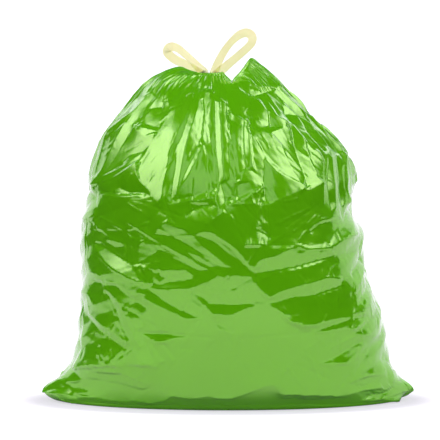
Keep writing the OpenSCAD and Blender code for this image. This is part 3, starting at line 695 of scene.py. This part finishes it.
# %% [markdown]
# ## Gathers and crinkles
# Where the tape draws the mouth in, the film has too much width and folds into tight gathers. All over
# it also run fine, straight crinkles. Both are folded waves: a zigzag keeps a crease sharp where a sine
# would round it. On the front the panels have the pleats already, so the coarse wave nearly ends there.

# %% Gathers
PLEATS, FINE_GATHERS, HAIR_GATHERS = 26, 47, 97
PLEAT_DEPTH, FLANK_DEPTH, FINE_DEPTH, HAIR_DEPTH = 8, 3, 2.0, 0.9
FLANK_PITCH, FLANK_SLANT = 38, 0.55
turns = U / (2 * math.pi)
coarse = zigzag(PLEATS * turns + 0.32 * np.sin(3 * U + 0.35) + 0.2 * np.sin(7 * U + 1.75))
strength = 0.74 + 0.26 * np.sin(5 * U + 0.52)
front_share = fade(-np.sin(U), 0.05, 0.45)
flank = np.abs(np.cos(U)) ** 6 * fade(T, 3, 5) * (1 - fade(T, 13, 15))
flank_way = np.where(smooth[..., 0] < 0, 1, -1)
slant = (smooth[..., 2] + FLANK_SLANT * (smooth[..., 1] - mouth_y) * flank_way) / FLANK_PITCH
fine = zigzag(FINE_GATHERS * turns + 2.6 * lattice(4, 13, 6))
hair = zigzag(HAIR_GATHERS * turns + 3.4 * lattice(5, 21, 8))
fine_patches, hair_patches = fade(lattice(6, 15, 7), 0.25, 0.7), fade(lattice(7, 17, 7), 0.2, 0.7)
off_front = 1 - 0.95 * front_share
gathers = (
    -PLEAT_DEPTH * (1 - coarse) * strength * fade(T, 12, 16.5) * (1 - fade(T, 20, 24)) * off_front
    - FLANK_DEPTH * flank * (1 - zigzag(slant))
    - FINE_DEPTH * (1 - fine) * fade(T, 19.2, 21.5) * (1 - fade(T, 22, 24)) * fine_patches
    - HAIR_DEPTH * (1 - hair) * fade(T, 19.8, 21.5) * (1 - fade(T, 23, 24.2)) * hair_patches
)
print("gathers, mm: deepest", round(float(gathers.min()), 1))

# %% Crinkles
# Direction in degrees, pitch and height in millimetres of each family.
CRINKLES = [(62, 31, 0.5), (-48, 23, 0.4), (15, 27, 0.35), (-20, 17, 0.25), (80, 13, 0.2), (38, 11, 0.16),
            (-70, 15, 0.2)]
CRINKLE_SHARE = 0.6
# The distance round the bag from the front's middle jumps at the back's middle, so the crinkles end there.
away = np.cumsum(across_step, axis=1)
away[:, :BACK_COLUMNS // 2] += away[:, -1:]
away -= away[:, [BACK_COLUMNS + FRONT_COLUMNS // 2]]
crinkles = np.zeros(T.shape)
for k, (angle, pitch, height) in enumerate(CRINKLES):
    warp = 0.6 * lattice(20 + k, 14, 9)
    run = away * math.cos(math.radians(angle)) + smooth[..., 2] * math.sin(math.radians(angle))
    crinkles -= height * (1 - zigzag(run / pitch + warp)) * fade(lattice(40 + k, 11, 8), 0.45, 0.75)
crinkles *= CRINKLE_SHARE * fade(T, 2.5, 4) * (1 - fade(T, 21, 23))
crinkles *= fade(np.abs(U - math.pi / 2), 0.02, 0.12)
film = smooth + normal * (heights + gathers + crinkles + grooves)[..., None]
film[..., 2] = np.maximum(film[..., 2], 0.0)
film[0] = smooth[0]
print("film box, mm:", film.reshape(-1, 3).min(0).round(1), film.reshape(-1, 3).max(0).round(1))

# %% [markdown]
# ## The film as a mesh
# The rings are joined into quads, the sole is closed with two smaller rings and a fan, and the throat's
# floor with a fan.


# %% Bag mesh
def joined(low, high):
    """Quads between two rings that start at the given vertex numbers."""
    j = np.arange(COLUMNS)
    k = (j + 1) % COLUMNS
    return np.stack([low + j, low + k, high + k, high + j], 1)


SOLE_MIDDLE = np.array([0, mouth_y, 0])
SOLE_RINGS = (0.7, 0.4)
points = [film.reshape(-1, 3)]
quads = [joined(i * COLUMNS, (i + 1) * COLUMNS) for i in range(RINGS - 1)]
start, inner = RINGS * COLUMNS, 0
for shrink in SOLE_RINGS:
    points.append(SOLE_MIDDLE + (film[0] - SOLE_MIDDLE) * shrink)
    quads.append(joined(start, inner))
    inner, start = start, start + COLUMNS
fans = []
for ring, centre, flip in ((inner, SOLE_MIDDLE, True), ((RINGS - 1) * COLUMNS, film[-1].mean(0), False)):
    points.append(centre[None])
    fans += [(start, ring + (j + flip) % COLUMNS, ring + (j + (not flip)) % COLUMNS) for j in range(COLUMNS)]
    start += 1
bag_mesh = bpy.data.meshes.new("bag_film")
bag_mesh.from_pydata((np.concatenate(points) * MM).tolist(), [], np.concatenate(quads).tolist() + fans)
bag_mesh.shade_smooth()
bag_film = bpy.data.objects.new("bag_film", bag_mesh)
bpy.context.scene.collection.objects.link(bag_film)
print("bag triangles:", 2 * len(np.concatenate(quads)) + len(fans))

# %% [markdown]
# ## Shader arithmetic
# A material is easier to read as sums and products than as a wall of nodes, so one small class wraps
# a socket and turns Python's operators into Math nodes. A second one adds every other node.


# %% Node helpers
class Signal:
    def __init__(self, nodes, socket):
        self.nodes, self.socket = nodes, socket

    def math(self, operation, *others):
        return self.nodes.add("ShaderNodeMath", {"operation": operation}, dict(enumerate((self, *others))))

    def __add__(self, other):
        return self.math("ADD", other)

    def __rsub__(self, other):
        return self.nodes.add("ShaderNodeMath", {"operation": "SUBTRACT"}, {0: other, 1: self})

    def __mul__(self, other):
        return self.math("MULTIPLY", other)

    __radd__, __rmul__ = __add__, __mul__


class Nodes:
    def __init__(self, tree):
        self.tree = tree

    def put(self, socket, value):
        if isinstance(value, Signal):
            self.tree.links.new(value.socket, socket)
        else:
            socket.default_value = value

    def add(self, kind, settings=None, sockets=None, output=0):
        made = self.tree.nodes.new(kind)
        for name, value in (settings or {}).items():
            setattr(made, name, value)
        for name, value in (sockets or {}).items():
            self.put(made.inputs[name], value)
        return Signal(self, made.outputs[output])

    def ramp(self, signal, start, full, low=0.0, high=1.0):
        """Goes smoothly from low to high while the signal goes from start to full."""
        return self.add("ShaderNodeMapRange", {"interpolation_type": "SMOOTHSTEP"},
                        {"Value": signal, "From Min": start, "From Max": full, "To Min": low, "To Max": high})


class Finish(Nodes):
    def __init__(self, name):
        self.material = bpy.data.materials.new(name)
        self.material.use_nodes = True
        super().__init__(self.material.node_tree)
        self.surface = self.tree.nodes["Principled BSDF"]

    def set(self, **sockets):
        for name, value in sockets.items():
            self.put(self.surface.inputs[name.replace("_", " ")], value)


# %% [markdown]
# ## Green film
# The film is a pigmented polyethylene about 0.03 mm thick. Light mirrors from its outer face without
# colour and from its inner face with the pigment's colour. So a clear coat lies over a base whose own
# mirror image is tinted green. A tinted metal would do that too, but it has no green of its own where
# nothing bright is mirrored. Crinkles too small for the mesh come from a bump.

# %% Film material
film_finish = Finish("green_film")
place = film_finish.add("ShaderNodeTexCoord", output="Object")
cloud = film_finish.add("ShaderNodeTexNoise", sockets={"Vector": place, "Scale": 9.0, "Detail": 3.0})
tiny = film_finish.add("ShaderNodeTexVoronoi", {"feature": "DISTANCE_TO_EDGE"},
                       {"Vector": place, "Scale": 70.0})
ripple = film_finish.add("ShaderNodeTexNoise",
                         sockets={"Vector": place, "Scale": 120.0, "Detail": 4.0, "Roughness": 0.6})
tone = film_finish.add("ShaderNodeMix", {"data_type": "RGBA"},
                       {"Factor": cloud, "A": (0.15, 0.80, 0.0, 1), "B": (0.18, 0.87, 0.0, 1)}, output=2)
crinkle_height = tiny.math("MINIMUM", 0.25) * 0.5 + ripple * 0.25
film_bump = film_finish.add("ShaderNodeBump",
                            sockets={"Height": crinkle_height, "Strength": 0.12, "Distance": 0.002})
film_finish.set(Base_Color=tone, Roughness=0.16 + cloud * 0.06, Normal=film_bump, IOR=2.4)
film_finish.set(Specular_Tint=(0.5, 1.0, 0.03, 1), Coat_Weight=1.0, Coat_Roughness=0.08, Coat_IOR=1.6)
bag_mesh.materials.append(film_finish.material)
print("film nodes:", len(film_finish.tree.nodes))

# %% [markdown]
# ## The drawtapes
# Two flat tapes run inside the hem round the mouth. Each is pulled out as a loop, which is a handle.
# A tape follows a path, so Geometry Nodes sweep it: a polyline carries the direction of the tape's
# width at each point, and one tree gives both loops their section.

# %% Tape paths
TAPE_WIDTH, TAPE_THICK, STRAND_GAP = 14.0, 0.7, 4.0
LEFT_REACH, RIGHT_REACH = 64, 79
LEFT_LEAN, RIGHT_LEAN = 55, -41
STEPS_A_ROW, DOWN_STEPS, FLOOR_GAP = 12, 3, 0.3
# Along the loop, across it, and the tilt of the tape's flat side towards the front, in degrees.
LEFT_LOOP = [
    (0.00, 0.05, 6), (0.16, 0.07, 24), (0.36, 0.11, 40), (0.60, 0.14, 40), (0.82, 0.15, 30),
    (0.96, 0.10, 14), (1.00, 0.00, 2), (0.94, -0.08, -5), (0.74, -0.10, -10), (0.48, -0.07, -12),
    (0.22, -0.05, -10), (0.00, -0.04, -4),
]
RIGHT_LOOP = [
    (0.00, 0.04, 24), (0.18, 0.10, 28), (0.40, 0.15, 34), (0.62, 0.17, 40), (0.82, 0.15, 28),
    (0.95, 0.09, 12), (1.00, 0.00, 0), (0.97, -0.09, -12), (0.86, -0.14, -28), (0.64, -0.12, -30),
    (0.38, -0.08, -24), (0.17, -0.05, -16), (0.00, -0.03, -10),
]


def tape_route(loop, reach, lean, foot):
    """Points of a tape in mm with the direction of its width, from the throat's floor and back to it."""
    rows = np.array(loop, float)
    last = len(rows) - 1
    path = between_rows(rows, np.linspace(0, last, STEPS_A_ROW * last + 1))
    side, angle = math.copysign(1, lean), math.radians(lean)
    x = foot + reach * (-path[:, 0] * math.sin(angle) + path[:, 1] * math.cos(angle) * side)
    z = RIM + reach * (path[:, 0] * math.cos(angle) + path[:, 1] * math.sin(angle) * side)
    turned = np.stack([x, z, path[:, 2]], 1)

    def down(row):
        """The strand from the rim to the throat's floor, where it lies flat to the front."""
        way = math.copysign(STRAND_GAP / 2, row[0] - foot)
        return [[foot + way, RIM - k / DOWN_STEPS * THROAT_DROP + FLOOR_GAP, row[2] * (1 - min(k, 2) / 2)]
                for k in range(1, DOWN_STEPS + 1)]

    rows = np.array(down(turned[0])[::-1] + turned.tolist() + down(turned[-1]))
    centre = np.stack([rows[:, 0], np.full(len(rows), mouth_y), rows[:, 1]], 1)
    flat = np.cross(unit(np.gradient(centre, axis=0)), (0, 1, 0))
    tilt = np.radians(rows[:, 2])[:, None]
    return centre, np.cos(tilt) * np.array([0, 1, 0]) + np.sin(tilt) * flat


# %% Sweep tree
EDGE_RADIUS = 0.0003
tree = bpy.data.node_groups.new("flat_tape", "GeometryNodeTree")
for label, kind in (("Path", "NodeSocketGeometry"), ("Width", "NodeSocketFloat"),
                    ("Thickness", "NodeSocketFloat"), ("Finish", "NodeSocketMaterial")):
    tree.interface.new_socket(label, in_out="INPUT", socket_type=kind)
tree.interface.new_socket("Tape", in_out="OUTPUT", socket_type="NodeSocketGeometry")


def grow(kind, settings=None, sockets=None):
    made = tree.nodes.new(kind)
    for name, value in (settings or {}).items():
        setattr(made, name, value)
    for name, value in (sockets or {}).items():
        if isinstance(value, bpy.types.NodeSocket):
            tree.links.new(value, made.inputs[name])
        else:
            made.inputs[name].default_value = value
    return made


given = grow("NodeGroupInput").outputs
width_side = grow("GeometryNodeInputNamedAttribute", {"data_type": "FLOAT_VECTOR"}, {"Name": "width_side"})
curve = grow("GeometryNodeMeshToCurve", None, {"Mesh": given["Path"]})
aimed = grow("GeometryNodeSetCurveNormal", {"mode": "FREE"},
             {"Curve": curve.outputs[0], "Normal": width_side.outputs[0]})
profile = grow("GeometryNodeCurvePrimitiveQuadrilateral", {"mode": "RECTANGLE"},
               {"Width": given["Thickness"], "Height": given["Width"]})
rounded = grow("GeometryNodeFilletCurve", {"mode": "POLY"},
               {"Curve": profile.outputs[0], "Radius": EDGE_RADIUS, "Count": 2})
swept = grow("GeometryNodeCurveToMesh", None,
             {"Curve": aimed.outputs[0], "Profile Curve": rounded.outputs[0], "Fill Caps": True})
shaded = grow("GeometryNodeSetShadeSmooth", None, {"Geometry": swept.outputs[0]})
real = grow("GeometryNodeRealizeInstances", None, {"Geometry": shaded.outputs[0]})
painted = grow("GeometryNodeSetMaterial", None, {"Geometry": real.outputs[0], "Material": given["Finish"]})
tree.links.new(painted.outputs[0], grow("NodeGroupOutput").inputs[0])
print("sweep tree nodes:", len(tree.nodes))

# %% [markdown]
# ## Pale tape
# The tape is a thicker, smoother polyethylene in pale yellow, slightly mottled. It lets some light
# through, so the white room shows in it and no side of it is dark.

# %% Tape material
tape_finish = Finish("pale_tape")
spot = tape_finish.add("ShaderNodeTexCoord", output="Object")
mottle = tape_finish.add("ShaderNodeTexNoise", sockets={"Vector": spot, "Scale": 60.0, "Detail": 3.0})
cream = tape_finish.add("ShaderNodeMix", {"data_type": "RGBA"},
                        {"Factor": mottle, "A": (0.95, 0.94, 0.48, 1), "B": (0.98, 0.97, 0.60, 1)}, output=2)
tape_bump = tape_finish.add("ShaderNodeBump", sockets={"Height": mottle, "Strength": 0.15, "Distance": 0.001})
tape_finish.set(Base_Color=cream, Roughness=0.34 + mottle * 0.1, Normal=tape_bump, IOR=1.12)
tape_finish.set(Subsurface_Weight=0.25, Subsurface_Scale=0.004, Specular_IOR_Level=0.5,
                Transmission_Weight=0.75)


# %% Build the tapes
def socket_id(label):
    return next(item.identifier for item in tree.interface.items_tree if item.name == label)


def make_tape(name, route):
    centre, wide = route
    mesh = bpy.data.meshes.new(name + "_path")
    mesh.from_pydata((centre * MM).tolist(), [(k, k + 1) for k in range(len(centre) - 1)], [])
    sideways = mesh.attributes.new("width_side", "FLOAT_VECTOR", "POINT")
    sideways.data.foreach_set("vector", wide.astype(np.float32).ravel())
    path = bpy.data.objects.new(name + "_path", mesh)
    bpy.context.scene.collection.objects.link(path)
    sweep = path.modifiers.new("sweep", "NODES")
    sweep.node_group = tree
    sweep[socket_id("Width")] = TAPE_WIDTH * MM
    sweep[socket_id("Thickness")] = TAPE_THICK * MM
    sweep[socket_id("Finish")] = tape_finish.material
    graph = bpy.context.evaluated_depsgraph_get()
    solid = bpy.data.meshes.new_from_object(path.evaluated_get(graph))
    bpy.data.objects.remove(path)
    solid.name = name
    tape = bpy.data.objects.new(name, solid)
    bpy.context.scene.collection.objects.link(tape)
    print(name, "faces:", len(solid.polygons))
    return tape


left_tape = make_tape("left_tape", tape_route(LEFT_LOOP, LEFT_REACH, LEFT_LEAN, NECK_X - THROAT_W / 2))
right_tape = make_tape("right_tape", tape_route(RIGHT_LOOP, RIGHT_REACH, RIGHT_LEAN, NECK_X + THROAT_W / 2))

# %% [markdown]
# ## Studio
# A white floor rolls up into a backdrop behind the bag and round its sides. On the camera's side the
# floor ends and the room is dim, which is what upright panels mirror. The floor glows by itself, so
# that it is white without more light on the bag. Round the bag's foot it glows less, a painted shadow,
# both where the camera sees the floor and where the film mirrors it.

# %% White floor
HALF_FOOT_WIDTH, HALF_FOOT_DEPTH = 0.29, 0.125
stage_finish = Finish("white_paper")
ray, mirror, through = (stage_finish.add("ShaderNodeLightPath", output=kind)
                        for kind in ("Is Camera Ray", "Is Glossy Ray", "Is Transmission Ray"))
floor_place = stage_finish.add("ShaderNodeTexCoord", output="Object")
footprint = stage_finish.add("ShaderNodeVectorMath", {"operation": "MULTIPLY"},
                             {0: floor_place, 1: (1 / HALF_FOOT_WIDTH, 1 / HALF_FOOT_DEPTH, 0)})
reach = stage_finish.add("ShaderNodeVectorMath", {"operation": "LENGTH"}, {0: footprint}, output="Value")
# Seen directly, the floor glows at 0.6 round the bag's foot and fully further out: a painted shadow.
seen_glow_with_painted_shadow = ray * stage_finish.ramp(reach, 0.97, 1.2, 0.6)
# In the film's mirror image the floor is dark right round the foot and a little darker nearer the bag:
# painted shade.
mirrored_glow_with_painted_shade = mirror.math("MAXIMUM", through) * stage_finish.ramp(reach, 0.9, 1.15)
mirrored_glow_with_painted_shade = mirrored_glow_with_painted_shade * stage_finish.ramp(reach, 1.1, 4.5, 0.86)
stage_finish.set(Base_Color=(0.35, 0.35, 0.35, 1), Roughness=0.9, Specular_IOR_Level=0.1,
                 Emission_Color=(seen_glow_with_painted_shadow + mirrored_glow_with_painted_shade).math("MINIMUM", 1.0), Emission_Strength=1.0)

# %% Floor and backdrop
FLOOR_FRONT, WALL_REACH, CURVE, WALL = 1.5, 4.6, 1.0, 2.6
CURVE_STEPS, SPOKES = 10, 72
FLOOR_SINK = 0.0004
# The open side runs between these directions, in degrees to the right of the camera's.
OPEN_LEFT, OPEN_RIGHT = -114, 88
outline = [(radius, 0.0) for radius in (0.0, 0.5, 0.9, FLOOR_FRONT)]
for k in range(CURVE_STEPS + 1):
    turn = math.pi / 2 * k / CURVE_STEPS
    outline.append((WALL_REACH - CURVE + CURVE * math.sin(turn), CURVE * (1 - math.cos(turn))))
outline.append((WALL_REACH, WALL))
stage_points = []
for radius, lift in outline:
    for spoke in range(SPOKES):
        turn = 2 * math.pi * spoke / SPOKES
        open_side = OPEN_LEFT < (math.degrees(turn) + 180) % 360 - 180 < OPEN_RIGHT
        r, z = (min(radius, FLOOR_FRONT), 0.0) if open_side else (radius, lift)
        stage_points.append((r * math.sin(turn), -r * math.cos(turn), z - FLOOR_SINK))
stage_mesh = bpy.data.meshes.new("studio_floor")
stage_mesh.from_pydata(stage_points, [], [
    (k * SPOKES + s, k * SPOKES + (s + 1) % SPOKES, (k + 1) * SPOKES + (s + 1) % SPOKES, (k + 1) * SPOKES + s)
    for k in range(len(outline) - 1) for s in range(SPOKES)
])
stage_mesh.shade_smooth()
stage_mesh.materials.append(stage_finish.material)
studio_floor = bpy.data.objects.new("studio_floor", stage_mesh)
bpy.context.scene.collection.objects.link(studio_floor)
print("floor faces:", len(stage_mesh.polygons))

# %% [markdown]
# Soft lamps can be patches of the sky, placed by their direction: two large ones at the left and right,
# a weak strip in front for the middle pleats, and two small ones behind the bag for its rims. They are
# a little violet, because the green film takes that out of them and mirrors them nearly white.

# %% Lamps and room
LAMP_COLOUR, DIM = (1.2, 1.0, 1.5, 1), 0.025
world = bpy.data.worlds.new("studio_room")
world.use_nodes = True
room = Nodes(world.node_tree)
view_way = room.add("ShaderNodeTexCoord", output="Generated")
split_way = room.add("ShaderNodeSeparateXYZ", sockets={"Vector": view_way})
side_way, back_way, up_way = (Signal(room, socket) for socket in split_way.socket.node.outputs)
azimuth = side_way.math("ABSOLUTE").math("ARCTAN2", back_way * -1.0) * (180 / math.pi)
elevation = up_way.math("ARCSINE") * (180 / math.pi)


def soft_panel(azimuths, elevations):
    """A soft box in the sky: the degrees where it starts, is full, starts to fall and ends, both ways."""
    patch = 1.0
    for signal, (start, full, fall, end) in ((azimuth, azimuths), (elevation, elevations)):
        patch = patch * room.ramp(signal, start, full) * (1.0 - room.ramp(signal, fall, end))
    return patch


side_boxes = soft_panel((25, 45, 60, 86), (14, 26, 56, 68)) * (2.5 + 0.8 * room.ramp(elevation, 24, 56))
front_strip = soft_panel((-2, -1, 8, 16), (17, 24, 58, 70)) * 0.75
rim_boxes = soft_panel((112, 122, 150, 160), (26, 34, 46, 56)) * 2.0
sky = world.node_tree.nodes["Background"]
sky.inputs["Color"].default_value = LAMP_COLOUR
room.put(sky.inputs["Strength"], side_boxes + front_strip + rim_boxes + DIM)
print("world nodes:", len(world.node_tree.nodes))

# %% White where the camera looks past the backdrop
paper = room.add("ShaderNodeBackground", sockets={"Color": (1, 1, 1, 1), "Strength": 1.0})
past, past_tape = (room.add("ShaderNodeLightPath", output=kind)
                   for kind in ("Is Camera Ray", "Is Transmission Ray"))
sky_or_paper = room.add("ShaderNodeMixShader", sockets={
    0: past.math("MAXIMUM", past_tape), 1: Signal(room, sky.outputs[0]), 2: paper})
room.put(world.node_tree.nodes["World Output"].inputs["Surface"], sky_or_paper)
bpy.context.scene.world = world
bpy.context.scene.view_settings.view_transform = "Standard"

# %% [markdown]
# ## Pieces on the body
# Each piece rides on the part's one body, and the solid that it stands for is hidden.

# %% Pieces
for piece, node, slot in ((bag_film, "bag", "film"), (left_tape, "drawtape_left", "tape"),
                          (right_tape, "drawtape_right", "tape")):
    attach(piece, "root")
    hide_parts(node)
